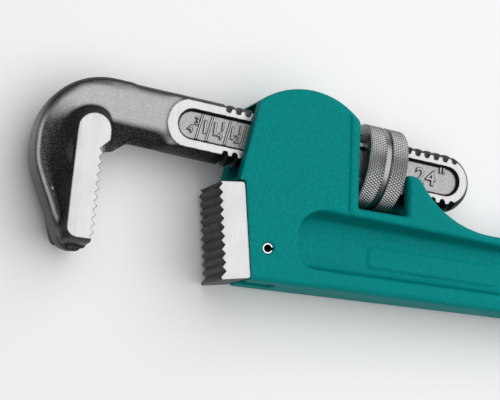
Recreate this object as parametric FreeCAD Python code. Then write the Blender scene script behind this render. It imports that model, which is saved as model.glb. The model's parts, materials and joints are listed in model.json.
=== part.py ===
import FreeCAD, Part
import os
from math import asin, cos, pi, radians, sin, sqrt, tan
from FreeCAD import Placement, Rotation, Vector

# A 24 inch heavy-duty (Stillson) pipe wrench, lying on its side, set for a 2 inch pipe.
#
# Working frame, in millimetres: X runs along the handle to its hanging end, Y points to the side
# of the shank, and Z is across the thickness, with the mid-plane of the tool at z = 0. The corner
# between the heel jaw's seat and the handle is near x = 0, y = 0. The last step moves every piece
# so that the origin is under the middle of the tool, on the surface that it lies on.

# ---- driving dimensions ---------------------------------------------------------------------

# hook jaw shank: a threaded round bar with two ground flats
SHANK_TILT = -3.1            # degrees, from the handle's axis to the shank's axis
PIVOT_X = 57.0               # the shank rocks about this point, where its axis leaves the housing
PIVOT_Y = 29.5
CREST_RADIUS = 15.0
THREAD_DEPTH = 1.6
THREAD_PITCH = 5.08
FLANK_SLOPE = 0.31           # widening of the thread groove, per side and mm of radius
FLAT_HALF = 9.5              # ground flats, half the thickness
ARM_HALF = 8.8               # forged sides next to the flats, half the thickness
BAR_START = -122.0           # along the shank from the pivot, negative towards the hook
FLAT_START = -100.2
FLAT_END_ROUND = 11.8        # the flats start with a round end
THREAD_START = -71.0
THREAD_END = 56.0
SHANK_END = 48.2             # centre of the rounded end
PANEL_HALF = 7.7             # sunk scale panel in each flat
PANEL_DEPTH = 2.6
PANEL_START = -87.3
PANEL_END = 48.0
PANEL_DRAFT = 1.0            # how far the panel's walls lean in

# hook jaw head
HOOK_HALF = 10.0
PAD_HALF = 17.0              # ground faces of both jaws, half the thickness
ARM_X = -60.0                # where the hook's curved head meets the shank
BACK_X = -106.8              # the back of the hook
BACK_RADIUS = 35.0
HOOK_TIP_X = -74.7           # line of the hook's tooth tips
HOOK_TEETH_LOW = -29.2
PAD_LEFT = -88.2
PAD_RIGHT = -72.0
PAD_TOP = 30.3
PAD_LOW = -30.3
PAD_ROUND = 8.0
SKIRT_SPREAD = 6.5           # how far the sloping shoulders reach out from the pad
TOOTH_PITCH = 4.27
TOOTH_DEPTH = 1.9
HOOK_TEETH = 10
HOOK_RIM_ROUND = 6.0

# heel jaw
HEEL_TILT = 9.0              # degrees, from the handle's square to the line of the heel's teeth
HEEL_TOP_TIP = (-16.0, 4.7)
HEEL_TEETH = 10
TANG_HALF = 6.0
TANG_END = 21.6
PIN_X = 11.7
PIN_Y = -22.1
PIN_RADIUS = 3.0
PIN_WALL = 1.1
PIN_SLIT = 1.5
PIN_HALF_LENGTH = 17.6

# handle casting
HOUSING_HALF = 18.0
HANDLE_AXIS_Y = -17.0
HANDLE_END_X = 474.0
END_RADIUS = 17.0            # the round end that holds the hanging hole
GRIP_HALF_HEIGHT = 13.8      # half the handle's height where it meets the round end
HANG_HOLE_RADIUS = 8.0
END_HALF = 12.0
WEB_HALF = 4.5
RECESS_START = 26.3          # the long hollows in the handle's sides
RECESS_END = 431.0
RECESS_DRAFT = 3.0
RECESS_FLOOR_ROUND = 3.5
SLOT_HALF = 10.3             # passage for the shank, half its width
SLOT_FLOOR = 11.6
SLOT_ROOF = 50.0             # at x = 0, it follows the shank's tilt
EAR_FLOOR = 9.2
WINDOW_FLOOR = 4.65
WINDOW_START = 57.1          # the nut window, measured at its floor
WINDOW_END = 83.6
EAR_TOP = 25.6
HANDLE_ROUND = 3.0           # rounding of the handle's long edges
DOME_ROUND = 2.2             # rounding of the housing's domed edge
DOME_RADIUS = 38.8
DOME_X = 26.0
DOME_Y = 20.9
DOME_LEFT = 0.6              # the dome's arc runs between these two x
DOME_RIGHT = 52.4
GROOVE_RADIUS = 1.5
GROOVE_RISE = 0.2            # how far the groove's axis stands above the face

HALF_THICKNESS = [           # stations (x, half the thickness) from the head to the handle's end
    (-30.0, HOUSING_HALF),
    (62.0, HOUSING_HALF),
    (145.0, 14.0),
    (300.0, END_HALF),
    (500.0, END_HALF),
]

# adjusting nut
NUT_RADIUS = 21.4
NUT_START = 1.6              # along the shank from the pivot
NUT_WIDTH = 20.8
NUT_BAND = 3.2               # plain band between the two knurled ones
NUT_BAND_DEPTH = 1.0
NUT_BAND_SLOPE = 0.4
NUT_CHAMFER = 1.4

# springs and running fits
FIT = 0.25                   # radial clearance in the thread
NUT_ROOT_RELIEF = 0.9        # how far the nut's thread groove stands clear of the shank's crests
FLANK_FIT = 0.4              # clearance along the axis, at each side of a thread ridge
SEAT_FIT = 0.05              # clearance of pieces that are fitted together and stay put
COIL_X = 24.0
COIL_RADIUS = 5.4            # to the middle of the wire
COIL_WIRE = 1.6
COIL_PITCH = 3.2
COIL_TURNS = 5
COIL_BASE = -2.5             # height of the lowest turn's middle
COIL_ROOM = 0.5              # radial room around the coil in its pocket
POCKET_FLOOR = -3.6
POCKET_HEIGHT = 20.0
LEAF_BEND = 1.0              # how far each end of the leaf is bent away from the shank
LEAF_HALF_WIDTH = 6.5
LEAF_THICKNESS = 1.1
LEAF_START = -51.0           # along the shank from the pivot
LEAF_END = -17.0
LEAF_RAMP = 6.0              # length of each bent end
LEAF_GAP = 0.35

ROOT_RADIUS = CREST_RADIUS - THREAD_DEPTH
SLOPE = tan(radians(SHANK_TILT))
SHANK_PLACE = Placement(Vector(PIVOT_X, PIVOT_Y, 0), Rotation(Vector(0, 0, 1), SHANK_TILT))
X_AXIS = Vector(1, 0, 0)
Y_AXIS = Vector(0, 1, 0)
Z_AXIS = Vector(0, 0, 1)
MARGIN = 1.0                 # how far a cutter stands past the face that it opens
OUTSIDE = 80.0               # well outside the tool's width, for cutters that run right through


# ---- drawing helpers ------------------------------------------------------------------------

def rounded_outline(corners):
    """A closed wire at z = 0 through corners (x, y, radius), in order."""
    runs = []
    arcs = []
    for index, (x, y, radius) in enumerate(corners):
        corner = Vector(x, y, 0)
        before = Vector(corners[index - 1][0], corners[index - 1][1], 0)
        after_index = (index + 1) % len(corners)
        after = Vector(corners[after_index][0], corners[after_index][1], 0)
        back = (before - corner).normalize()
        ahead = (after - corner).normalize()
        half_angle = back.getAngle(ahead) / 2
        reach = radius / tan(half_angle)
        inward = (back + ahead).normalize()
        middle = corner + inward * (radius / sin(half_angle) - radius)
        runs.append((corner + back * reach, corner + ahead * reach))
        arcs.append(middle)
    edges = []
    for index, (arc_start, arc_end) in enumerate(runs):
        if corners[index][2] > 0:
            edges.append(Part.Arc(arc_start, arcs[index], arc_end).toShape())
        next_start = runs[(index + 1) % len(runs)][0]
        if (next_start - arc_end).Length > 0.001:
            edges.append(Part.makeLine(arc_end, next_start))
    return Part.Wire(edges)


def slab(corners, low, high):
    """A plate with a rounded outline, from z = low to z = high."""
    face = Part.Face(rounded_outline(corners))
    face.translate(Vector(0, 0, low))
    return face.extrude(Vector(0, 0, high - low))


def plate(corners, half):
    return slab(corners, -half, half)


def box(x_low, x_high, y_low, y_high, z_half):
    """A box that is centred on the mid-plane."""
    return Part.makeBox(x_high - x_low, y_high - y_low, 2 * z_half, Vector(x_low, y_low, -z_half))


def turned(profile):
    """A solid of revolution about the X axis from points (x, radius)."""
    points = [Vector(x, radius, 0) for x, radius in profile]
    wire = Part.makePolygon(points + points[:1])
    return Part.Face(wire).revolve(Vector(0, 0, 0), X_AXIS, 360)


def mirrored_pair(shape):
    """The shape and its mirror image in the mid-plane of the tool."""
    return shape.fuse(shape.mirror(Vector(0, 0, 0), Z_AXIS))


def on_shank(shape):
    """Moves a shape drawn about the X axis, with x = 0 at the pivot, onto the shank's axis."""
    shape.Placement = SHANK_PLACE.multiply(shape.Placement)
    return shape


def saw_teeth(first_tip, direction, into_jaw, count):
    """The space in front of a row of teeth, as a cutter: first_tip is half a tooth from its end."""
    thickness = PAD_HALF + MARGIN
    clear = 3 * TOOTH_DEPTH
    points = []
    for index in range(count):
        low = first_tip + direction * (TOOTH_PITCH * (index - 0.5))
        points.append(low + into_jaw * TOOTH_DEPTH)
        points.append(low + direction * (TOOTH_PITCH / 2))
    end = first_tip + direction * (TOOTH_PITCH * (count - 0.5))
    points.append(end + into_jaw * TOOTH_DEPTH)
    points.append(end + into_jaw * TOOTH_DEPTH + direction * clear - into_jaw * clear)
    start = points[0]
    points.append(start - direction * clear - into_jaw * clear)
    wire = Part.makePolygon(points + points[:1])
    face = Part.Face(wire)
    face.translate(Vector(0, 0, -thickness))
    return face.extrude(Vector(0, 0, 2 * thickness))


# ---- hook jaw -------------------------------------------------------------------------------

def groove_half_width(radius):
    """Half the width, along the axis, of the shank's thread groove at a radius."""
    return THREAD_PITCH * 0.2 + (radius - ROOT_RADIUS) * FLANK_SLOPE


def thread_grooves():
    """Thread grooves of the shank: half rings, leaned over as the turns of the thread are."""
    lean = asin(THREAD_PITCH / (2 * pi * CREST_RADIUS)) * 180 / pi
    outer = CREST_RADIUS + 2 * MARGIN
    half_top = groove_half_width(outer)
    half_root = groove_half_width(ROOT_RADIUS)
    profile = [(-half_root, ROOT_RADIUS), (half_root, ROOT_RADIUS), (half_top, outer), (-half_top, outer)]
    ring = turned(profile)
    half_ring = ring.common(box(-outer, outer, 0, outer, outer))
    grooves = []
    count = round((THREAD_END - THREAD_START) / THREAD_PITCH)
    for index in range(count):
        upper = half_ring.copy()
        upper.rotate(Vector(0, 0, 0), Y_AXIS, lean)
        upper.translate(Vector(THREAD_START + THREAD_PITCH * index, 0, 0))
        lower = half_ring.copy()
        lower.rotate(Vector(0, 0, 0), X_AXIS, 180)
        lower.rotate(Vector(0, 0, 0), Y_AXIS, -lean)
        lower.translate(Vector(THREAD_START + THREAD_PITCH * (index + 0.5), 0, 0))
        grooves += [upper, lower]
    return grooves


def scale_panel():
    """Cutter for the sunk panel in the upper flat, with sloping walls."""
    levels = ((FLAT_HALF + 0.01, PANEL_HALF), (FLAT_HALF - PANEL_DEPTH, PANEL_HALF - PANEL_DRAFT))
    wires = []
    for height, half in levels:
        start = PANEL_START - half
        end = PANEL_END + half
        corners = [(start, -half, half), (end, -half, half), (end, half, half), (start, half, half)]
        wire = rounded_outline([(x, y, radius * 0.98) for x, y, radius in corners])
        wire.translate(Vector(0, 0, height))
        wires.append(wire)
    return Part.makeLoft(wires, True, True)


def shank():
    """The shank, drawn about the X axis with the pivot at x = 0."""
    bar = Part.makeCylinder(CREST_RADIUS, SHANK_END - BAR_START, Vector(BAR_START, 0, 0), X_AXIS)
    bar = bar.fuse(Part.makeSphere(CREST_RADIUS, Vector(SHANK_END, 0, 0)))
    edge = CREST_RADIUS + MARGIN
    full = FLAT_START + FLAT_END_ROUND
    half = FLAT_END_ROUND + MARGIN / 2
    round_end = [(FLAT_START, -half, FLAT_END_ROUND), (full, -half, 0), (full, half, 0),
                 (FLAT_START, half, FLAT_END_ROUND)]
    forged = bar.common(box(BAR_START, full, -edge, edge, ARM_HALF))
    ground = bar.common(box(full, SHANK_END + edge, -edge, edge, FLAT_HALF))
    solid = forged.fuse([bar.common(plate(round_end, FLAT_HALF)), ground]).cut(thread_grooves())
    return solid.cut(mirrored_pair(scale_panel()))


def hook_head():
    """The hook itself: a rounded bar bent round, with the thick tooth pad on its inside."""
    arm_top = PIVOT_Y + (ARM_X - PIVOT_X) * SLOPE + CREST_RADIUS
    arm_low = arm_top - 2 * CREST_RADIUS
    back_top = arm_top + (BACK_X - ARM_X) * SLOPE
    body = plate([
        (ARM_X, arm_top, 0),
        (BACK_X, back_top, BACK_RADIUS),
        (BACK_X, 4.9, BACK_RADIUS),
        (-87.3, -35.6, 7),
        (-76.6, -34.6, 3),
        (-76.6, 14.0, 0),
        (-67.0, 15.4, 4),
        (ARM_X, arm_low + 0.5, 0),
    ], HOOK_HALF)
    rim = []
    for edge in body.Edges:
        middle = edge.valueAt((edge.FirstParameter + edge.LastParameter) / 2)
        outside = middle.x < -80 or middle.y > 40
        if abs(abs(middle.z) - HOOK_HALF) < 0.01 and outside and middle.x < ARM_X:
            rim.append(edge)
    body = body.makeFillet(HOOK_RIM_ROUND, rim)
    inside_back = plate([
        (ARM_X, back_top + MARGIN, 0),
        (BACK_X, back_top + MARGIN, 0),
        (BACK_X, 4.9, BACK_RADIUS),
        (-87.3, -35.6, 7),
        (ARM_X, -40.0, 0),
    ], PAD_HALF)
    return body.fuse([tooth_pad(), pad_skirt().common(inside_back)])


def pad_corners(grow, floor):
    """The pad's outline, grown by a margin on every side but that of the teeth."""
    right = PAD_RIGHT + min(grow, 1.5)
    return [
        (PAD_LEFT - grow, PAD_TOP + grow, PAD_ROUND + grow),
        (right, PAD_TOP + grow, PAD_ROUND),
        (right, 17.0, 3),
        (HOOK_TIP_X, 13.6, 1),
        (HOOK_TIP_X, floor, 1.2),
        (PAD_LEFT - grow, floor, 5),
    ]


def tooth_pad():
    return plate(pad_corners(0, PAD_LOW), PAD_HALF)


def pad_skirt():
    """Sloping shoulders from the hook's sides up to the pad's faces, on both sides."""
    low = rounded_outline(pad_corners(SKIRT_SPREAD, PAD_LOW - 2.7))
    low.translate(Vector(0, 0, HOOK_HALF - 2))
    high = rounded_outline(pad_corners(0.3, PAD_LOW - 0.2))
    high.translate(Vector(0, 0, PAD_HALF - 0.8))
    return mirrored_pair(Part.makeLoft([low, high], True, True))


def hook_jaw():
    first_tip = Vector(HOOK_TIP_X, HOOK_TEETH_LOW + TOOTH_PITCH / 2, 0)
    teeth = saw_teeth(first_tip, Y_AXIS, Vector(-1, 0, 0), HOOK_TEETH)
    solid = hook_head().fuse(on_shank(shank()))
    return solid.cut(teeth).removeSplitter()


# ---- heel jaw and its pin -------------------------------------------------------------------

def heel_jaw():
    lean = radians(HEEL_TILT)
    down = Vector(sin(lean), -cos(lean), 0)
    into_jaw = Vector(cos(lean), sin(lean), 0)
    tip = Vector(HEEL_TOP_TIP[0], HEEL_TOP_TIP[1], 0)
    block = plate([
        (-17.2, 6.9, 0.8),
        (-3.1, 8.7, 1.6),
        (4.9, -37.6, 1.6),
        (-9.6, -40.4, 0.8),
    ], PAD_HALF)
    block = block.cut(saw_teeth(tip + down * (TOOTH_PITCH / 2 - 1.2), down, into_jaw, HEEL_TEETH))
    tang = plate([(-4.0, -9.0, 0), (TANG_END, -9.0, 3), (TANG_END, -36.4, 3), (-4.0, -36.4, 0)], TANG_HALF)
    bore = Part.makeCylinder(PIN_RADIUS + SEAT_FIT, 2 * TANG_HALF + 2 * MARGIN,
                             Vector(PIN_X, PIN_Y, -TANG_HALF - MARGIN))
    return block.fuse(tang).cut(bore).removeSplitter()


def heel_jaw_pin():
    """A slotted spring pin: a rolled tube with an open slit along it and chamfered ends."""
    chamfer = 0.5
    length = 2 * PIN_HALF_LENGTH
    pin = Part.makeCylinder(PIN_RADIUS, length)
    ends = [edge for edge in pin.Edges if edge.Curve.TypeId == "Part::GeomCircle"]
    pin = pin.makeChamfer(chamfer, ends)
    pin = pin.cut(Part.makeCylinder(PIN_RADIUS - PIN_WALL, length))
    slit = Part.makeBox(2 * PIN_RADIUS, PIN_SLIT, length, Vector(0, -PIN_SLIT / 2, 0))
    pin = pin.cut(slit)
    pin.translate(Vector(PIN_X, PIN_Y, -PIN_HALF_LENGTH))
    return pin


# ---- handle casting -------------------------------------------------------------------------

def dome_height(x):
    return DOME_Y + sqrt(DOME_RADIUS ** 2 - (x - DOME_X) ** 2)


def frame_outline():
    """The casting's side view: domed housing, nut window, ear and tapering handle."""
    left = Vector(DOME_LEFT, dome_height(DOME_LEFT), 0)
    right = Vector(DOME_RIGHT, dome_height(DOME_RIGHT), 0)
    top = Vector(DOME_X, dome_height(DOME_X), 0)
    end_x = HANDLE_END_X - END_RADIUS
    end_top = HANDLE_AXIS_Y + END_RADIUS
    end_low = HANDLE_AXIS_Y - END_RADIUS
    body = Part.Face(rounded_outline([
        (-6.0, 9.3, 0),
        (left.x, left.y, 0),
        (right.x, right.y, 0),
        (WINDOW_START - 2.9, 47.0, 0),
        (WINDOW_START, WINDOW_FLOOR, 0.8),
        (WINDOW_END, WINDOW_FLOOR, 0.8),
        (WINDOW_END - 1.7, EAR_TOP, 0.8),
        (WINDOW_END + 4.8, EAR_TOP, 6.5),
        (106.3, 2.9, 50),
        (end_x - 22, HANDLE_AXIS_Y + GRIP_HALF_HEIGHT, 40),
        (end_x - 4, end_top, 12),
        (HANDLE_END_X, end_top, END_RADIUS * 0.95),
        (HANDLE_END_X, end_low, END_RADIUS * 0.95),
        (end_x - 4, end_low, 12),
        (end_x - 22, HANDLE_AXIS_Y - GRIP_HALF_HEIGHT, 40),
        (5.0, -38.5, 0),
        (-3.0, 9.3, 0),
    ]))
    dome = Part.Wire([Part.Arc(left, top, right).toShape(), Part.makeLine(right, left)])
    return body.fuse(Part.Face(dome)).removeSplitter()


def thickness_profile():
    """The casting's top view, which thins it from the housing to the handle's end."""
    upper = [Vector(x, -OUTSIDE, z) for x, z in HALF_THICKNESS]
    lower = [Vector(x, -OUTSIDE, -z) for x, z in reversed(HALF_THICKNESS)]
    wire = Part.makePolygon(upper + lower + upper[:1])
    return Part.Face(wire).extrude(Vector(0, 2 * OUTSIDE, 0))


def handle_recess():
    """Cutter for the long hollow in one side of the handle, which leaves the web of an I-beam."""
    wires = []
    for height, shrink in ((HOUSING_HALF + MARGIN, 0), (WEB_HALF, RECESS_DRAFT)):
        wire = rounded_outline([
            (RECESS_START + shrink, 1.2 - shrink, 13 - shrink),
            (RECESS_END - shrink, -8.2 - shrink, 8 - shrink),
            (RECESS_END - shrink, -25.8 + shrink, 8 - shrink),
            (RECESS_START + shrink, -29.3 + shrink, 10 - shrink),
        ])
        wire.translate(Vector(0, 0, height))
        wires.append(wire)
    cutter = Part.makeLoft(wires, True, True)
    floor = [edge for edge in cutter.Edges if abs(edge.BoundBox.ZMax - WEB_HALF) < 0.01]
    return cutter.makeFillet(RECESS_FLOOR_ROUND, floor)


def face_groove():
    """Cutter for the rounded groove beside the nut window on the upper face."""
    top = Vector(47.3, 49.6, HOUSING_HALF + GROOVE_RISE)
    low = Vector(51.2, -3.0, HOUSING_HALF + GROOVE_RISE)
    run = low - top
    groove = Part.makeCylinder(GROOVE_RADIUS, run.Length, top, run)
    return groove.fuse(Part.makeSphere(GROOVE_RADIUS, top))


def shank_passage():
    """Cutter for the passage of the shank: closed above in the housing, open between the ears."""
    start = -20.0
    middle = 70.0
    through = [(start, SLOT_FLOOR, 0), (middle, SLOT_FLOOR, 0), (middle, SLOT_ROOF + middle * SLOPE, 0),
               (start, SLOT_ROOF + start * SLOPE, 0)]
    ears = box(middle, 2 * middle, EAR_FLOOR, OUTSIDE, SLOT_HALF)
    return plate(through, SLOT_HALF).fuse(ears)


def spring_pocket():
    radius = COIL_RADIUS + COIL_WIRE / 2 + COIL_ROOM
    return Part.makeCylinder(radius, POCKET_HEIGHT, Vector(COIL_X, POCKET_FLOOR, 0), Y_AXIS)


def tang_slot():
    return box(-8.0, TANG_END + 0.4, -OUTSIDE, -8.6, TANG_HALF + SEAT_FIT)


def through_hole(x, y, radius):
    return Part.makeCylinder(radius, 2 * OUTSIDE, Vector(x, y, -OUTSIDE))


def half_thickness(x):
    for (start, start_half), (end, end_half) in zip(HALF_THICKNESS, HALF_THICKNESS[1:]):
        if x <= end:
            return start_half + (end_half - start_half) * (x - start) / (end - start)
    return END_HALF


def round_face_edges(solid, radius, wanted):
    """Rounds the edges that lie in the two faces of the casting, where wanted(middle) is true."""
    chosen = []
    for edge in solid.Edges:
        ends = [edge.valueAt(edge.FirstParameter), edge.valueAt(edge.LastParameter)]
        middle = edge.valueAt((edge.FirstParameter + edge.LastParameter) / 2)
        in_face = all(abs(abs(point.z) - half_thickness(point.x)) < 0.05 for point in ends + [middle])
        along_face = ends[0].z * ends[1].z > 0 and abs(ends[0].y - ends[1].y) < 60
        if in_face and along_face and wanted(middle):
            chosen.append(edge)
    return solid.makeFillet(radius, chosen)


def handle_frame():
    face = frame_outline()
    face.translate(Vector(0, 0, -OUTSIDE))
    solid = face.extrude(Vector(0, 0, 2 * OUTSIDE)).common(thickness_profile()).removeSplitter()
    solid = round_face_edges(solid, HANDLE_ROUND, lambda p: p.x > 92 or (p.y < -20 and p.x > 4.9))
    solid = round_face_edges(solid, DOME_ROUND, lambda p: p.y > 49.9)
    cutters = [
        mirrored_pair(handle_recess()),
        mirrored_pair(face_groove()),
        shank_passage(),
        spring_pocket(),
        tang_slot(),
        through_hole(PIN_X, PIN_Y, PIN_RADIUS + SEAT_FIT),
        through_hole(HANDLE_END_X - END_RADIUS, HANDLE_AXIS_Y, HANG_HOLE_RADIUS),
    ]
    return solid.cut(cutters).removeSplitter()


# ---- nut and springs ------------------------------------------------------------------------

def adjusting_nut():
    """The knurled nut: two wide bands with a plain groove between them, threaded through."""
    width = NUT_WIDTH
    outer = NUT_RADIUS
    band_low = (width - NUT_BAND) / 2
    band_high = (width + NUT_BAND) / 2
    bore = ROOT_RADIUS + FIT
    profile = [
        (0, bore),
        (0, outer - NUT_CHAMFER),
        (NUT_CHAMFER, outer),
        (band_low, outer),
        (band_low + NUT_BAND_SLOPE, outer - NUT_BAND_DEPTH),
        (band_high - NUT_BAND_SLOPE, outer - NUT_BAND_DEPTH),
        (band_high, outer),
        (width - NUT_CHAMFER, outer),
        (width, outer - NUT_CHAMFER),
        (width, bore),
    ]
    nut = turned(profile)
    nut.translate(Vector(NUT_START, 0, 0))
    return on_shank(nut.cut(nut_thread()))


def nut_thread():
    """Cutter for the internal thread, a helical groove that the shank's ridges run in."""
    inner = ROOT_RADIUS - MARGIN
    outer = CREST_RADIUS + NUT_ROOT_RELIEF
    half_inner = THREAD_PITCH / 2 - groove_half_width(inner) + FLANK_FIT
    half_outer = THREAD_PITCH / 2 - groove_half_width(outer) + FLANK_FIT
    corners = [(inner, -half_inner), (outer, -half_outer), (outer, half_outer), (inner, half_inner)]
    points = [Vector(radius, 0, along) for radius, along in corners]
    helix = Part.makeLongHelix(THREAD_PITCH, NUT_WIDTH + 3 * THREAD_PITCH, CREST_RADIUS)
    thread = Part.Wire(helix).makePipeShell([Part.makePolygon(points + points[:1])], True, True)
    thread.rotate(Vector(0, 0, 0), Y_AXIS, 90)
    turns_to_nut = int((NUT_START - THREAD_START) / THREAD_PITCH) - 1
    thread.translate(Vector(THREAD_START + THREAD_PITCH * (turns_to_nut + 0.25), 0, 0))
    return thread


def coil_spring():
    helix = Part.makeHelix(COIL_PITCH, COIL_PITCH * COIL_TURNS, COIL_RADIUS)
    circle = Part.Wire(Part.makeCircle(COIL_WIRE / 2, Vector(COIL_RADIUS, 0, 0), Y_AXIS))
    spring = Part.Wire(helix).makePipeShell([circle], True, True)
    spring.rotate(Vector(0, 0, 0), X_AXIS, -90)
    spring.translate(Vector(COIL_X, COIL_BASE, 0))
    return spring


def flat_spring():
    """The leaf that the coil spring presses against the shank, bent away at both ends."""
    top = -CREST_RADIUS - LEAF_GAP
    low = top - LEAF_THICKNESS
    points = [
        (LEAF_START, top - LEAF_BEND),
        (LEAF_START + LEAF_RAMP, top),
        (LEAF_END - LEAF_RAMP, top),
        (LEAF_END, top - LEAF_BEND),
        (LEAF_END, low - LEAF_BEND),
        (LEAF_END - LEAF_RAMP, low),
        (LEAF_START + LEAF_RAMP, low),
        (LEAF_START, low - LEAF_BEND),
    ]
    wire = Part.makePolygon([Vector(x, y, -LEAF_HALF_WIDTH) for x, y in points + points[:1]])
    return on_shank(Part.Face(wire).extrude(Vector(0, 0, 2 * LEAF_HALF_WIDTH)))


# ---- all the pieces, moved to the tool's own origin -------------------------------------------

PIECES = {
    "handle_frame": handle_frame,
    "hook_jaw": hook_jaw,
    "heel_jaw": heel_jaw,
    "heel_jaw_pin": heel_jaw_pin,
    "adjusting_nut": adjusting_nut,
    "coil_spring": coil_spring,
    "flat_spring": flat_spring,
}


def main():
    os.makedirs("parts", exist_ok=True)
    shapes = {name: make() for name, make in PIECES.items()}
    whole = Part.makeCompound(list(shapes.values())).optimalBoundingBox()
    origin = Vector(whole.Center.x, whole.Center.y, whole.ZMin)
    for name, shape in shapes.items():
        solid = shape.Solids[0]
        solid.translate(origin * -1)
        solid.exportStep("parts/" + name + ".step")
        print(name, solid.isValid(), "solids:", len(shape.Solids), "volume:", round(solid.Volume, 1))
    print("origin", origin, "size", whole.XLength, whole.YLength, whole.ZLength)


main()
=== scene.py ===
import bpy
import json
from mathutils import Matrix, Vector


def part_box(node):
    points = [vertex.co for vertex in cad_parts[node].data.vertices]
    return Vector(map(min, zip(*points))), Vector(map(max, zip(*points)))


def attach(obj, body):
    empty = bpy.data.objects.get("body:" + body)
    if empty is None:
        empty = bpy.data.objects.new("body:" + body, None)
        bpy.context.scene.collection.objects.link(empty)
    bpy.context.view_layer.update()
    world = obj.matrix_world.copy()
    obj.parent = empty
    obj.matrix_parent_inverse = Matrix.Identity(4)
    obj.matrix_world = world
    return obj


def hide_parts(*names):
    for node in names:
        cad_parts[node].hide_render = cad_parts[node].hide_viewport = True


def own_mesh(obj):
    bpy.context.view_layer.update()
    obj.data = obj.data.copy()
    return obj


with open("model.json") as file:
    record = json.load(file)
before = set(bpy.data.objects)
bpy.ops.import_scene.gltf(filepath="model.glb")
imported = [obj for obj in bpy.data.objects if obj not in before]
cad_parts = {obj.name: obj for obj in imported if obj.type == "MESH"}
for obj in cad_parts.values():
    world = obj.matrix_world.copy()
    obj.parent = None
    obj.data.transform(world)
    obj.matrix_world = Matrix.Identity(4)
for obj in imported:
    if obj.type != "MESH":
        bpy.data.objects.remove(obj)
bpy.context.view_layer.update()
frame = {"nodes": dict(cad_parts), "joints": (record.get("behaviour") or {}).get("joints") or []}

import json
import math

import bmesh
import bpy
import numpy as np
from mathutils import Matrix, Vector

# A heavy-duty pipe wrench: painted casting, black forged hook jaw with ground flats, knurled nut.
# All lengths are in metres. MM turns millimetres, which a tool of this size is drawn in, to metres.
MM = 0.001

# ---- places taken from the frame --------------------------------------------------------------

JOINTS = {joint["name"]: joint for joint in frame["joints"]}
PIVOT = Vector(JOINTS["hook_rock"]["pos_m"])
SHANK_AXIS = Vector(JOINTS["hook_slide"]["axis"]).normalized()
MID_HEIGHT = PIVOT.z                      # height of the tool's mid-plane
HEEL_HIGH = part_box("heel_jaw")[1]
NUT_LOW, NUT_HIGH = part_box("adjusting_nut")
HOOK_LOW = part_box("hook_jaw")[0]

# ---- driving dimensions, in millimetres -------------------------------------------------------

FLAT_HALF = 9.5             # half the thickness over the shank's ground flats
PAD_HALF = 17.0             # half the thickness over the jaws' ground faces
HOOK_HALF = 10.0            # half the thickness of the hook's forged sides
ARM_HALF = 8.8              # and of the shank's forged sides, which they run into
PANEL_FLOOR = 6.9           # height of the scale panel's floor above the mid-plane
HEAD_END = -117.0           # along the shank from the pivot: end of the hook's curved head
FLAT_START = -100.2         # start of the ground flats
PANEL_START = -95.0
THREAD_START = -71.0
THREAD_PITCH = 5.08

NUT_START = 1.6
NUT_WIDTH = 20.8
NUT_RADIUS = (NUT_HIGH.z - NUT_LOW.z) / 2 / MM
NUT_BORE = 13.65
NUT_THREAD_RADIUS = 15.9
RIDGE_HALF = 0.69           # half the width of the nut's thread ridge at its top
RIDGE_FLANK = 0.70
KNURL_COUNT = 90
KNURL_DEPTH = 0.55
KNURL_ANGLE = 32.0          # degrees, between the knurl's grooves and the nut's axis
NUT_BAND_HALF = 1.6
NUT_BAND_DEPTH = 1.0
NUT_ROUND = 1.4

TRIANGLES = 190000          # most triangles in one piece
SMOOTHING = 0.6             # how far a point moves towards its neighbours' middle in one round


def shank_matrix(side=1):
    """From millimetres along, across and out of the shank to the frame. Side -1 is the lower flat."""
    along = SHANK_AXIS
    out = Vector((0, 0, side))
    across = out.cross(along)
    rotation = Matrix((along, across, out)).transposed().to_4x4()
    return Matrix.Translation(PIVOT) @ rotation @ Matrix.Scale(MM, 4)


# ---- mesh helpers -----------------------------------------------------------------------------

def new_object(name, mesh):
    piece = bpy.data.objects.new(name, mesh)
    bpy.context.scene.collection.objects.link(piece)
    return piece


def copy_of(node, name):
    """A new piece with the mesh of a CAD node."""
    mesh = frame["nodes"][node].data.copy()
    mesh.materials.clear()
    return new_object(name, mesh)


def apply_modifiers(piece):
    graph = bpy.context.evaluated_depsgraph_get()
    piece.data = bpy.data.meshes.new_from_object(piece.evaluated_get(graph))
    piece.modifiers.clear()
    piece.data.name = piece.name


def remesh(piece, voxel):
    modifier = piece.modifiers.new("remesh", "REMESH")
    modifier.mode = "VOXEL"
    modifier.voxel_size = voxel * MM
    apply_modifiers(piece)


def thin(piece):
    """Drops triangles where the surface is flat, down to the number that one piece may have."""
    triangles = sum(len(face.vertices) - 2 for face in piece.data.polygons)
    if triangles > TRIANGLES:
        modifier = piece.modifiers.new("thin", "DECIMATE")
        modifier.ratio = TRIANGLES / triangles
        apply_modifiers(piece)


def points_of(piece):
    points = np.empty(len(piece.data.vertices) * 3)
    piece.data.vertices.foreach_get("co", points)
    return points.reshape(-1, 3)


def set_points(piece, points):
    piece.data.vertices.foreach_set("co", points.ravel())
    piece.data.update()


def relax(piece, share, rounds):
    """Smooths the mesh: share is how far each point follows its neighbours, from 0 to 1."""
    edges = np.empty(len(piece.data.edges) * 2, dtype=np.int64)
    piece.data.edges.foreach_get("vertices", edges)
    first, second = edges.reshape(-1, 2).T
    points = points_of(piece)
    count = len(points)
    degree = np.maximum(np.bincount(edges, minlength=count), 1)
    for _ in range(rounds):
        for axis in range(3):
            values = points[:, axis]
            total = np.bincount(first, values[second], count) + np.bincount(second, values[first], count)
            points[:, axis] = values + share * SMOOTHING * (total / degree - values)
    set_points(piece, points)


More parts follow.
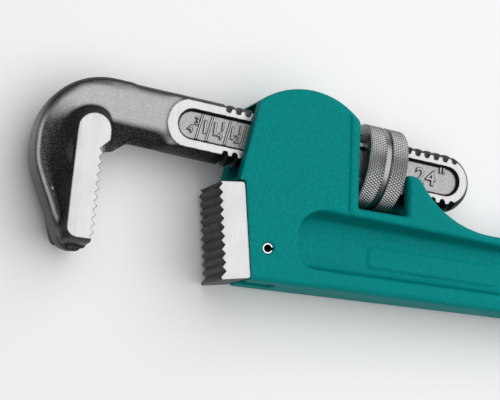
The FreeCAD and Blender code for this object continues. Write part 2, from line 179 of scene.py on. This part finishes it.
def bevel(piece, width, angle=30):
    """Merges a CAD mesh back into clean faces and rounds its sharp edges."""
    shape = bmesh.new()
    shape.from_mesh(piece.data)
    bmesh.ops.remove_doubles(shape, verts=shape.verts, dist=0.002 * MM)
    bmesh.ops.dissolve_limit(shape, angle_limit=math.radians(0.5), verts=shape.verts, edges=shape.edges)
    shape.to_mesh(piece.data)
    shape.free()
    modifier = piece.modifiers.new("bevel", "BEVEL")
    modifier.width = width * MM
    modifier.segments = 2
    modifier.limit_method = "ANGLE"
    modifier.angle_limit = math.radians(angle)
    apply_modifiers(piece)
    smooth(piece, 35)


def smooth(piece, angle=None):
    piece.data.shade_smooth()
    if angle is not None:
        piece.data.set_sharp_from_angle(angle=math.radians(angle))


def give(piece, material):
    piece.data.materials.clear()
    piece.data.materials.append(material)


def set_attribute(piece, name, values):
    attribute = piece.data.attributes.new(name, "FLOAT", "POINT")
    attribute.data.foreach_set("value", values.astype(np.float32))


def ramp(values, low, high):
    """0 below low, 1 above high and smooth in between."""
    share = np.clip((values - low) / (high - low), 0, 1)
    return share * share * (3 - 2 * share)


# ---- materials --------------------------------------------------------------------------------

class Shader:
    """A material with short ways to add and join its nodes."""

    def __init__(self, name):
        self.material = bpy.data.materials.new(name)
        self.material.use_nodes = True
        self.tree = self.material.node_tree
        self.surface = self.tree.nodes["Principled BSDF"]
        self.place = self.add("ShaderNodeTexCoord").outputs["Object"]

    def add(self, kind, inputs=None, **settings):
        node = self.tree.nodes.new(kind)
        for key, value in settings.items():
            setattr(node, key, value)
        for key, value in (inputs or {}).items():
            self.put(node.inputs[key], value)
        return node

    def put(self, socket, value):
        if isinstance(value, bpy.types.NodeSocket):
            self.tree.links.new(value, socket)
        else:
            socket.default_value = value

    def set(self, **values):
        names = {"color": "Base Color", "metallic": "Metallic", "roughness": "Roughness",
                 "normal": "Normal", "specular": "Specular IOR Level"}
        for key, value in values.items():
            self.put(self.surface.inputs[names[key]], value)

    def stretched(self, scale):
        return self.add("ShaderNodeMapping", {"Vector": self.place, "Scale": scale}).outputs["Vector"]

    def noise(self, size, detail=3.0, roughness=0.55, place=None):
        """Noise with blotches about this many millimetres across."""
        inputs = {"Vector": place or self.place, "Scale": 1 / (size * MM), "Detail": detail,
                  "Roughness": roughness}
        return self.add("ShaderNodeTexNoise", inputs).outputs["Fac"]

    def spread(self, value, low, high, new_low=0.0, new_high=1.0):
        inputs = {"Value": value, "From Min": low, "From Max": high, "To Min": new_low, "To Max": new_high}
        return self.add("ShaderNodeMapRange", inputs).outputs["Result"]

    def math(self, operation, first, second=0.0):
        node = self.add("ShaderNodeMath", operation=operation)
        self.put(node.inputs[0], first)
        self.put(node.inputs[1], second)
        return node.outputs[0]

    def mix(self, share, low, high):
        """Blends two colours."""
        node = self.add("ShaderNodeMix", data_type="RGBA")
        self.put(node.inputs["Factor"], share)
        self.put(node.inputs[6], low)
        self.put(node.inputs[7], high)
        return node.outputs[2]

    def blend(self, share, low, high):
        """Blends two numbers."""
        node = self.add("ShaderNodeMix", data_type="FLOAT")
        self.put(node.inputs["Factor"], share)
        self.put(node.inputs[2], low)
        self.put(node.inputs[3], high)
        return node.outputs[0]

    def bump(self, height, depth, normal=None):
        """A bump as deep as this many millimetres."""
        inputs = {"Height": height, "Distance": depth * MM, "Strength": 1.0}
        if normal is not None:
            inputs["Normal"] = normal
        return self.add("ShaderNodeBump", inputs).outputs["Normal"]

    def edge(self, low, high):
        """1 on scuffed outer edges."""
        return self.spread(self.add("ShaderNodeNewGeometry").outputs["Pointiness"], low, high)

    def uprightness(self):
        """1 where a surface lies flat with the tool, 0 where it stands on edge."""
        normal = self.add("ShaderNodeTexCoord").outputs["Normal"]
        upright = self.add("ShaderNodeSeparateXYZ", {"Vector": normal}).outputs["Z"]
        return self.math("ABSOLUTE", upright)

    def attribute(self, name):
        return self.add("ShaderNodeAttribute", attribute_name=name).outputs["Fac"]


def grey(value):
    return (value, value, value, 1.0)


def ground_steel(shader):
    """Colour, roughness and height of a ground face, with fine lines across the tool."""
    lines = shader.noise(1.0, 4.0, 0.7, shader.stretched((2.2, 0.05, 1.0)))
    cloud = shader.noise(9.0, 2.0)
    color = shader.mix(shader.spread(lines, 0.3, 0.7), grey(0.42), grey(0.50))
    roughness = shader.spread(cloud, 0.3, 0.7, 0.36, 0.44)
    return color, roughness, lines


def black_oxide(shader):
    """Colour, roughness and height of the grainy black forging. Faces lying flat are painted grey and
    tilted faces near-black: partly oxide scuffed off the flats, partly a painted sheen and painted shade.
    """
    grain = shader.noise(0.7, 3.0, 0.6)
    cloud = shader.noise(7.0, 3.0)
    # painted sheen: faces lying flat with the tool turn grey, tilted faces stay near-black as painted shade
    wear_and_painted_light_share = shader.spread(shader.uprightness(), 0.74, 0.985)
    # adds the painted highlight and painted shade that the hook carries in its attribute
    wear_and_painted_light_share = shader.spread(shader.math("ADD", wear_and_painted_light_share, shader.attribute("wear_and_painted_light")), 0.0, 1.0)
    black = shader.mix(shader.spread(grain, 0.45, 0.75), grey(0.022), grey(0.11))
    # the grey of the flat faces: scuffed oxide and painted sheen
    wear_and_painted_light = shader.mix(shader.spread(cloud, 0.3, 0.7), grey(0.27), grey(0.34))
    wear_and_painted_light = shader.mix(shader.spread(grain, 0.55, 0.72), wear_and_painted_light, grey(0.5))
    roughness = shader.spread(cloud, 0.3, 0.7, 0.40, 0.50)
    return shader.mix(wear_and_painted_light_share, black, wear_and_painted_light), roughness, grain


def paint():
    shader = Shader("teal_paint")
    grain = shader.noise(0.75, 3.0, 0.6)
    peel = shader.noise(2.6, 2.0)
    cloud = shader.noise(24.0, 3.0)
    teal = shader.mix(shader.spread(cloud, 0.3, 0.7), (0.001, 0.242, 0.232, 1), (0.001, 0.272, 0.261, 1))
    speckled = shader.mix(shader.spread(grain, 0.38, 0.66), (0.001, 0.195, 0.187, 1), teal)
    edged = shader.mix(shader.edge(0.52, 0.60), speckled, (0.02, 0.36, 0.35, 1))
    height = shader.math("ADD", grain, shader.math("MULTIPLY", peel, 1.4))
    shader.set(color=edged, roughness=shader.spread(cloud, 0.3, 0.7, 0.50, 0.60), specular=0.04,
               normal=shader.bump(height, 0.30))
    return shader.material


def forging():
    """Black oxide all over, and bright ground steel where the attribute says so."""
    shader = Shader("forged_and_ground_steel")
    ground = shader.attribute("ground")
    bright, bright_roughness, lines = ground_steel(shader)
    dark, dark_roughness, grain = black_oxide(shader)
    wear_and_painted_light = shader.mix(shader.edge(0.60, 0.72), dark, grey(0.5))
    height = shader.blend(ground, shader.math("MULTIPLY", grain, 1.0), shader.math("MULTIPLY", lines, 0.12))
    shader.set(color=shader.mix(ground, wear_and_painted_light, bright), metallic=1.0,
               roughness=shader.blend(ground, dark_roughness, bright_roughness),
               normal=shader.bump(height, 0.22))
    return shader.material


def heel_steel():
    """Ground side faces and dark teeth."""
    shader = Shader("ground_and_hardened_steel")
    ground = shader.spread(shader.uprightness(), 0.90, 0.97)
    bright, bright_roughness, lines = ground_steel(shader)
    dark, dark_roughness, grain = black_oxide(shader)
    height = shader.blend(ground, grain, shader.math("MULTIPLY", lines, 0.12))
    shader.set(color=shader.mix(ground, dark, bright), metallic=1.0,
               roughness=shader.blend(ground, dark_roughness, bright_roughness),
               normal=shader.bump(height, 0.2))
    return shader.material


def nut_steel():
    """Blackened steel that is scuffed bright on the knurl's tips."""
    shader = Shader("knurled_steel")
    tips = shader.attribute("tip")
    grain = shader.noise(0.4, 3.0)
    cloud = shader.noise(6.0, 3.0)
    dark = shader.mix(shader.spread(cloud, 0.3, 0.7), grey(0.17), grey(0.25))
    color = shader.mix(shader.spread(tips, 0.35, 0.95), dark, grey(0.72))
    shader.set(color=color, metallic=1.0, roughness=shader.spread(cloud, 0.3, 0.7, 0.30, 0.40),
               normal=shader.bump(grain, 0.03))
    return shader.material


def spring_steel():
    shader = Shader("oiled_spring_steel")
    grain = shader.noise(0.3, 3.0)
    cloud = shader.noise(4.0, 3.0)
    color = shader.mix(shader.spread(cloud, 0.3, 0.7), grey(0.34), grey(0.48))
    shader.set(color=color, metallic=1.0, roughness=shader.spread(cloud, 0.3, 0.7, 0.30, 0.42),
               normal=shader.bump(grain, 0.03))
    return shader.material


def pin_steel():
    """Bright at the two ends, and painted near-black inside the bore as painted shade."""
    shader = Shader("slotted_pin_steel")
    height = shader.add("ShaderNodeSeparateXYZ", {"Vector": shader.place}).outputs["Z"]
    from_middle = shader.math("ABSOLUTE", shader.math("SUBTRACT", height, MID_HEIGHT))
    near_end = shader.spread(from_middle, 17.0 * MM, 17.25 * MM)
    grain = shader.noise(0.3, 3.0)
    bright = shader.mix(shader.spread(grain, 0.4, 0.6), grey(0.55), grey(0.75))
    # near-black inside the bore is painted shade
    shader.set(color=shader.mix(near_end, grey(0.03), bright), metallic=1.0, roughness=0.35,
               normal=shader.bump(grain, 0.02))
    return shader.material


# ---- the painted casting ----------------------------------------------------------------------

END_TIP = (452.1, -25.7)    # the tip of the handle's end, from the heel jaw's high corner


def raised_panel(side):
    """A blank raised panel with rounded corners on the floor of the handle's recess."""
    length = 72.0
    width = 11.0
    corner = 3.0
    low = 3.0                   # below the recess's floor
    top = 5.5
    draft = 0.5
    middle = Vector((HEEL_HIGH.x + 82.8 * MM, HEEL_HIGH.y - 25.5 * MM, MID_HEIGHT))
    rings = []
    for height, shrink in ((low, 0.0), (top, draft)):
        ring = []
        for quarter, (sign_x, sign_y) in enumerate(((1, 1), (-1, 1), (-1, -1), (1, -1))):
            for part in range(7):
                angle = math.radians(90 * quarter + 15 * part)
                x = sign_x * (length / 2 - corner) + (corner - shrink) * math.cos(angle)
                y = sign_y * (width / 2 - corner) + (corner - shrink) * math.sin(angle)
                ring.append(middle + Vector((x, y, side * height)) * MM)
        rings.append(ring)
    return rings


def add_ring_solid(shape, rings):
    """Adds a closed solid between two rings of points to a bmesh."""
    loops = [[shape.verts.new(point) for point in ring] for ring in rings]
    count = len(loops[0])
    faces = [shape.faces.new(loops[0]), shape.faces.new(loops[1])]
    for index in range(count):
        after = (index + 1) % count
        corners = (loops[0][index], loops[0][after], loops[1][after], loops[1][index])
        faces.append(shape.faces.new(corners))
    bmesh.ops.recalc_face_normals(shape, faces=faces)


def handle_share(points):
    """1 on the handle and its recess, whose edges are softer, and 0 on the housing and at the end's tip."""
    x, y, z = ((points - np.array((HEEL_HIGH.x, HEEL_HIGH.y, MID_HEIGHT))) / MM).T
    off_web = ramp(np.abs(z), 5.8, 6.8)
    below_window = ramp(x, 14.0, 22.0) * (1 - ramp(y, -6.4, -5.2))
    past_window = ramp(x, 100.0, 130.0)
    at_tip = np.hypot(x - END_TIP[0], y - END_TIP[1]) < 12.0
    return np.maximum(below_window, past_window) * off_web * np.where(at_tip, 0.0, 1.0)


def casting():
    piece = copy_of("handle_frame", "painted_handle")
    shape = bmesh.new()
    shape.from_mesh(piece.data)
    for side in (1, -1):
        add_ring_solid(shape, raised_panel(side))
    shape.to_mesh(piece.data)
    shape.free()
    remesh(piece, 0.6)
    relax(piece, 1.0, 2)
    relax(piece, handle_share(points_of(piece)), 24)
    thin(piece)
    smooth(piece)
    give(piece, paint())
    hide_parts("handle_frame")
    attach(piece, "handle")


# ---- the hook jaw -----------------------------------------------------------------------------

BACK_RADIUS = 35.0          # the hook's back is two arcs of this radius and a straight run
UPPER_ARC = -13.1           # their centres, across the tool from the pivot
LOWER_ARC = -16.6
RUN_INWARD = (0.901, 0.434)  # direction from the straight run into the hook, along and across
RUN_CROSSES = -24.6         # where the run's line crosses the hook's back
RUN_STARTS = (0.482, -33.46)  # slope and start of the line that parts the lower arc from the run
RIM = 5.5                   # width of the rim along the hook's back
RIM_ROUND = 2.2             # and of its rounded outer edge
RIM_DROP = 1.6              # how far that edge falls away
CREASE = 8.3                # half the thickness at the crease inside the rim
SHOULDER = 16.4             # and where the side meets the pad
PAD_MIDDLE = (26.7, -29.5)  # from the hook's back, and across from the pivot
PAD_REACH = (8.1, 30.3)     # half the pad's width and length
PAD_ROUND = 8.0
PAD_LEFT = 17.5             # the pad's near edge, from the hook's back


def shank_places(points):
    """Points of the frame as millimetres along, across and out of the shank."""
    inverse = np.array(shank_matrix().inverted())
    return points @ inverse[:3, :3].T + inverse[:3, 3]


def hook_places(points):
    """Millimetres from the hook's back and across from the pivot."""
    return (points[:, 0] - HOOK_LOW.x) / MM, (points[:, 1] - PIVOT.y) / MM


def from_back(x, y):
    """How far each point is inside the outline of the hook's back."""
    aside = BACK_RADIUS - x
    upper = BACK_RADIUS - np.hypot(aside, y - UPPER_ARC)
    lower = BACK_RADIUS - np.hypot(aside, y - LOWER_ARC)
    run = x * RUN_INWARD[0] + (y - RUN_CROSSES) * RUN_INWARD[1]
    run_starts = RUN_STARTS[0] * x + RUN_STARTS[1]
    return np.select([y > UPPER_ARC, y > LOWER_ARC, y > run_starts], [upper, x, lower], run)


def from_pad(x, y):
    """How far each point is outside the ground pad's outline."""
    reach_x = np.abs(x - PAD_MIDDLE[0]) - PAD_REACH[0] + PAD_ROUND
    reach_y = np.abs(y - PAD_MIDDLE[1]) - PAD_REACH[1] + PAD_ROUND
    outside = np.hypot(reach_x.clip(0, None), reach_y.clip(0, None))
    return outside + np.minimum(np.maximum(reach_x, reach_y), 0) - PAD_ROUND


def dish(points):
    """Gives the hook's sides their dished slope from the pad out to a crease inside the rim."""
    x, y = hook_places(points)
    out = (points[:, 2] - MID_HEIGHT) / MM
    height = np.abs(out)
    inside = from_back(x, y)
    outside = from_pad(x, y)
    share = np.clip(outside / np.maximum(outside + inside - RIM, 0.1), 0, 1)
    power = 1.1 + 0.7 * ramp(y, -25.0, -5.0)
    slope = CREASE + (SHOULDER - CREASE) * (1 - share) ** power
    edge = 1 - inside.clip(0, RIM_ROUND) / RIM_ROUND
    rim = CREASE + 0.3 - RIM_DROP * edge ** 2
    wanted = rim + (slope - rim) * ramp(inside, RIM - 2.0, RIM + 0.5)
    weight = (1 - ramp(y, -12.0, 8.0)) * (1 - ramp(x, PAD_LEFT, PAD_LEFT + 1.1)) * ramp(y, -60.0, -50.0)
    weight = weight * ramp(height, 4.0, 6.0)
    points[:, 2] = MID_HEIGHT + np.sign(out) * (height + (wanted - height) * weight) * MM


def ease_arm(points):
    """Runs the hook's sides into the thinner shank, and rounds the shank's forged edges."""
    along, across, out = shank_places(points).T
    height = np.abs(out)
    beside_pad = 1 - ramp(height, 10.4, 13.0)
    drop = (HOOK_HALF - ARM_HALF) * ramp(along, HEAD_END - 32, HEAD_END) * beside_pad
    drop = np.where(along < HEAD_END + 0.3, drop, 0.0)
    level = np.where(height > ARM_HALF, np.maximum(height - drop, ARM_HALF), height)
    before_flat = 1 - ramp(along, FLAT_START - 3, FLAT_START + 3)
    past_pad = ramp(along, -142.0, -136.0) * (1 - ramp(height, 10.4, 12.5))
    lower = 0.42 * ramp(-across, 4.5, 13.0) + 0.36 * ramp(-across, 10.5, 19.0)
    lower = lower * past_pad * before_flat
    upper = 0.16 * ramp(across, 8.0, 14.0) * before_flat * ramp(height, 2.0, 6.0)
    points[:, 2] = MID_HEIGHT + np.sign(out) * level * (1 - lower) * (1 - upper) * MM


def painted_rim_light_and_shade(points):
    """Painted light on the hook: above 0 a painted highlight along the hook's back, below 0 painted shade
    in the crease inside the rim and under the arm.
    """
    x, y = hook_places(points)
    inside = from_back(x, y)
    # painted highlight along the hook's back, fainter as it runs down the hook
    back = (0.62 - 0.42 * ramp(-y, 6.0, 42.0)) * (1 - ramp(inside, 1.5, 3.5))
    # painted shade in the crease inside the rim
    crease = ramp(inside, 1.2, 3.8) * (1 - ramp(inside, 9.0, 17.0))
    on_hook = (1 - ramp(y, -8.0, 9.0)) * (1 - ramp(x, PAD_LEFT, PAD_LEFT + 1.1))
    along, across, out = shank_places(points).T
    before_flat = 1 - ramp(along, FLAT_START - 5.8, FLAT_START + 2.2)
    # painted shade under the arm, before the ground flats
    under_arm = ramp(-across, 6.0, 9.5) * ramp(along, -144.0, -139.0) * before_flat
    return on_hook * (back - crease) - under_arm


def hook_jaw():
    piece = copy_of("hook_jaw", "forged_hook_jaw")
    remesh(piece, 0.36)
    points = points_of(piece)
    dish(points)
    ease_arm(points)
    set_points(piece, points)
    along, across, out = shank_places(points_of(piece)).T
    height = np.abs(out)
    forged = 1 - ramp(along, THREAD_START - 6, THREAD_START - 3)
    on_pad = ramp(height, PAD_HALF - 0.6, PAD_HALF - 0.2)
    at_teeth = ramp(along, -138.5, -136.5) * ramp(-across, 14.0, 18.0)
    on_flat = (height > FLAT_HALF - 0.2) & (along > FLAT_START - 1.0) & (height < FLAT_HALF + 0.1)
    at_panel = (along > PANEL_START - 1.0) & (np.abs(across) < 8.6)
    free = np.where(on_flat | at_panel, 0.0, 1.0)
    relax(piece, forged * (1 - on_pad) * (1 - at_teeth) * free, 45)
    along, across, out = shank_places(points_of(piece)).T
    height = np.abs(out)
    flat = (np.abs(height - FLAT_HALF) < 0.06) & (along > FLAT_START - 0.3)
    pad = height > PAD_HALF - 0.12
    set_attribute(piece, "ground", np.where(flat | pad, 1.0, 0.0))
    # the hook's painted highlight and painted shade, read by the black oxide
    set_attribute(piece, "wear_and_painted_light", painted_rim_light_and_shade(points_of(piece)))
    thin(piece)
    smooth(piece)
    give(piece, forging())
    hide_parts("hook_jaw")
    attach(piece, "hook")
    return piece.data.materials[0]


# ---- the scale on the shank -------------------------------------------------------------------

LARGE = 6.4                 # heights of the figures
SMALL = 3.7
MARK = 7.6
CAPITAL_SHARE = 0.70        # height of the font's figures as a share of its size
LINE_LEAN = 0.137           # how far the lines lean along the shank for each millimetre across
LINES = (-83.1, -77.9, -68.5, -60.1, -48.0, -34.0)
FIGURES = (
    ("3", -84.9, 2.2, SMALL), ("4", -87.9, -2.0, SMALL),
    ("1", -80.6, 0.0, LARGE),
    ("1", -75.4, 0.0, LARGE), ("1", -71.6, 2.4, SMALL), ("4", -72.6, -2.3, SMALL),
    ("1", -66.4, 0.0, LARGE), ("1", -62.6, 2.4, SMALL), ("2", -63.6, -2.3, SMALL),
    ("2", -54.0, 0.0, LARGE),
    ("2", -44.6, 0.0, LARGE), ("1", -39.0, 2.4, SMALL), ("2", -40.0, -2.3, SMALL),
    ("3", -27.0, 0.0, LARGE),
    ("2", 34.6, 0.0, MARK), ("4", 40.6, 0.0, MARK), ('"', 46.2, 2.2, MARK),
)


def figure(text, along, across, tall):
    """One raised figure, drawn in millimetres about the shank."""
    curve = bpy.data.curves.new("figure", "FONT")
    curve.body = text
    curve.align_x = "CENTER"
    curve.align_y = "CENTER"
    curve.size = tall / CAPITAL_SHARE
    curve.extrude = 0.5
    curve.bevel_depth = 0.34
    curve.bevel_resolution = 0
    curve.resolution_u = 6
    drawn = new_object("figure", curve)
    drawn.location = (along, across, PANEL_FLOOR)
    bpy.context.view_layer.update()
    graph = bpy.context.evaluated_depsgraph_get()
    mesh = bpy.data.meshes.new_from_object(drawn.evaluated_get(graph))
    mesh.transform(drawn.matrix_world)
    bpy.data.objects.remove(drawn)
    return mesh


def scale_lines(shape):
    """Pairs of thin raised lines that lean across the panel."""
    reach = 6.3
    half = 0.2
    top = PANEL_FLOOR + 0.8
    for middle in LINES:
        for offset in (-0.5, 0.5):
            rings = []
            for height, width in ((PANEL_FLOOR - 0.4, half + 0.55), (top, half)):
                ring = []
                for side, end in ((-1, -1), (1, -1), (1, 1), (-1, 1)):
                    along = middle + offset + end * reach * LINE_LEAN + side * width
                    ring.append(Vector((along, end * reach, height)))
                rings.append(ring)
            add_ring_solid(shape, rings)


def scale_marks(material):
    for side, name in ((1, "scale_upper"), (-1, "scale_lower")):
        shape = bmesh.new()
        for text, along, across, tall in FIGURES:
            shape.from_mesh(figure(text, along, across, tall))
        bmesh.ops.remove_doubles(shape, verts=shape.verts, dist=0.001)
        scale_lines(shape)
        mesh = bpy.data.meshes.new(name)
        shape.to_mesh(mesh)
        shape.free()
        mesh.transform(shank_matrix(side))
        piece = new_object(name, mesh)
        smooth(piece, 35)
        give(piece, material)
        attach(piece, "hook")


# ---- the adjusting nut ------------------------------------------------------------------------

def triangle(values):
    """A zigzag between 0 and 1 with a period of 1."""
    return np.abs(2 * (values - np.floor(values)) - 1)


def nut_outside(along, angle):
    """Radius of the knurled outside, and how near to a tip each point is."""
    from_end = np.minimum(along, NUT_WIDTH - along)
    from_band = np.abs(along - NUT_WIDTH / 2)
    rounding = NUT_ROUND - from_end.clip(0, NUT_ROUND)
    radius = NUT_RADIUS - (NUT_ROUND - np.sqrt(NUT_ROUND ** 2 - rounding ** 2))
    round_pitch = 2 * math.pi * NUT_RADIUS / KNURL_COUNT
    slant = math.tan(math.radians(KNURL_ANGLE)) / round_pitch
    turn = angle * KNURL_COUNT / (2 * math.pi)
    grooves = np.maximum(triangle(turn + along * slant), triangle(turn - along * slant))
    knurled = ramp(from_band, NUT_BAND_HALF, NUT_BAND_HALF + 0.4) * ramp(from_end, 0.1, 0.7)
    band = 1 - ramp(from_band, NUT_BAND_HALF - 0.3, NUT_BAND_HALF)
    radius = radius - KNURL_DEPTH * grooves * knurled - NUT_BAND_DEPTH * band
    return radius, (1 - grooves) * knurled + 0.45 * band


def nut_inside(along, angle):
    """Radius of the internal thread, whose ridges run in the shank's grooves."""
    turns = (along + NUT_START - THREAD_START) / THREAD_PITCH - angle / (2 * math.pi)
    from_ridge = np.abs(turns - np.round(turns)) * THREAD_PITCH
    flank = (from_ridge - RIDGE_HALF) / RIDGE_FLANK
    return NUT_BORE + (NUT_THREAD_RADIUS - NUT_BORE) * flank.clip(0, 1)


def nut():
    around = KNURL_COUNT * 8    # eight points to each groove of the knurl
    rows_out = np.concatenate([np.linspace(0, NUT_ROUND, 9)[:-1],
                               np.linspace(NUT_ROUND, NUT_WIDTH - NUT_ROUND, 76),
                               np.linspace(NUT_WIDTH - NUT_ROUND, NUT_WIDTH, 9)[1:]])
    rows_in = np.linspace(NUT_WIDTH, 0, 40)
    angles = np.linspace(0, 2 * math.pi, around, endpoint=False)
    grid_out = np.meshgrid(rows_out, angles, indexing="ij")
    grid_in = np.meshgrid(rows_in, angles, indexing="ij")
    outer, tips = nut_outside(*grid_out)
    inner = nut_inside(*grid_in)
    along = np.concatenate([grid_out[0], grid_in[0]])
    angle = np.concatenate([grid_out[1], grid_in[1]])
    radius = np.concatenate([outer, inner])
    tips = np.concatenate([tips, inner * 0])
    local = np.stack([along + NUT_START, radius * np.cos(angle), radius * np.sin(angle)], axis=-1)
    local = local.reshape(-1, 3)
    place = np.array(shank_matrix())
    points = local @ place[:3, :3].T + place[:3, 3]
    rows = len(rows_out) + len(rows_in)
    index = np.arange(rows * around).reshape(rows, around)
    below = np.roll(index, -1, axis=0)
    quads = np.stack([index, np.roll(index, -1, 1), np.roll(below, -1, 1), below], axis=-1).reshape(-1, 4)
    mesh = bpy.data.meshes.new("knurled_nut")
    mesh.from_pydata(points.tolist(), [], quads.tolist())
    shape = bmesh.new()
    shape.from_mesh(mesh)
    bmesh.ops.recalc_face_normals(shape, faces=shape.faces)
    shape.to_mesh(mesh)
    shape.free()
    piece = new_object("knurled_nut", mesh)
    set_attribute(piece, "tip", tips.ravel())
    smooth(piece, 40)
    give(piece, nut_steel())
    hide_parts("adjusting_nut")
    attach(piece, "nut")


# ---- heel jaw, pin and springs ----------------------------------------------------------------

def small_pieces():
    heel = copy_of("heel_jaw", "toothed_heel_jaw")
    bevel(heel, 0.3)
    give(heel, heel_steel())
    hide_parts("heel_jaw")
    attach(heel, "handle")

    pin = copy_of("heel_jaw_pin", "slotted_pin")
    bevel(pin, 0.12)
    give(pin, pin_steel())
    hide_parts("heel_jaw_pin")
    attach(pin, "handle")

    leaf = copy_of("flat_spring", "leaf_spring")
    bevel(leaf, 0.25)
    give(leaf, spring_steel())
    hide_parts("flat_spring")
    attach(leaf, "rocker")


def coil_spring():
    """The coil under the leaf, wound as a helix that is closed at both ends."""
    low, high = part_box("coil_spring")
    wire = 0.8 * MM
    middle = (low + high) / 2
    radius = (high.x - low.x) / 2 - wire
    turns = 6.5
    samples = 200
    curve = bpy.data.curves.new("coil", "CURVE")
    curve.dimensions = "3D"
    curve.bevel_depth = wire
    curve.bevel_resolution = 4
    curve.use_fill_caps = True
    spline = curve.splines.new("POLY")
    spline.points.add(samples)
    span = high.y - low.y - 2 * wire
    for index, point in enumerate(spline.points):
        share = index / samples
        angle = 2 * math.pi * turns * share
        closed = min(1.0, max(0.0, (share - 0.12) / 0.76))
        rise = 0.9 * closed + 0.1 * share
        point.co = (middle.x + radius * math.cos(angle), low.y + wire + span * rise,
                    middle.z + radius * math.sin(angle), 1.0)
    drawn = new_object("coil_path", curve)
    bpy.context.view_layer.update()
    graph = bpy.context.evaluated_depsgraph_get()
    mesh = bpy.data.meshes.new_from_object(drawn.evaluated_get(graph))
    bpy.data.objects.remove(drawn)
    piece = new_object("coil_wire", mesh)
    smooth(piece, 50)
    give(piece, spring_steel())
    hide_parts("coil_spring")
    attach(piece, "handle")
    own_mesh(piece)


# ---- floor, light and camera ------------------------------------------------------------------

CAMERA_AT = Vector((-0.4705, -0.1718, MID_HEIGHT + 0.9303))
CAMERA_LOOK = Vector((0.29578, 0.16706, -0.94053))
CAMERA_UP = Vector((-0.15004, 0.98049, 0.12697))
CAMERA_LENS = 144.0
SENSOR = 36.0


def floor():
    half = 4.0
    mesh = bpy.data.meshes.new("floor")
    corners = [(-half, -half, 0), (half, -half, 0), (half, half, 0), (-half, half, 0)]
    mesh.from_pydata(corners, [], [(0, 1, 2, 3)])
    piece = new_object("floor", mesh)
    shader = Shader("pale_floor")
    cloud = shader.mix(shader.noise(300.0, 2.0), grey(0.88), grey(0.91))
    shader.set(color=cloud, roughness=0.8, specular=0.1)
    give(piece, shader.material)


def area_light(name, at, target, width, height, power):
    data = bpy.data.lights.new(name, "AREA")
    data.shape = "RECTANGLE"
    data.size = width
    data.size_y = height
    data.energy = power
    light = new_object(name, data)
    light.location = at
    light.rotation_euler = (Vector(target) - Vector(at)).to_track_quat("-Z", "Y").to_euler()


def lights():
    target = (-0.15, 0.0, 0.02)
    area_light("key_softbox", (0.22, 0.21, 1.20), target, 2.4, 2.4, 30.0)
    world = bpy.data.worlds.new("studio")
    world.use_nodes = True
    background = world.node_tree.nodes["Background"]
    background.inputs["Color"].default_value = (0.97, 0.98, 1.0, 1)
    background.inputs["Strength"].default_value = 0.2
    bpy.context.scene.world = world


def camera():
    data = bpy.data.cameras.new("camera")
    data.lens = CAMERA_LENS
    data.sensor_width = SENSOR
    data.clip_start = 0.01
    data.clip_end = 20
    piece = new_object("camera", data)
    back = -CAMERA_LOOK.normalized()
    right = CAMERA_UP.cross(back).normalized()
    up = back.cross(right)
    rotation = Matrix((right, up, back)).transposed().to_4x4()
    piece.matrix_world = Matrix.Translation(CAMERA_AT) @ rotation
    bpy.context.scene.camera = piece


camera()
lights()
floor()
casting()
forged = hook_jaw()
scale_marks(forged)
nut()
small_pieces()
coil_spring()
bpy.context.scene.view_settings.view_transform = "Standard"

bpy.context.view_layer.update()
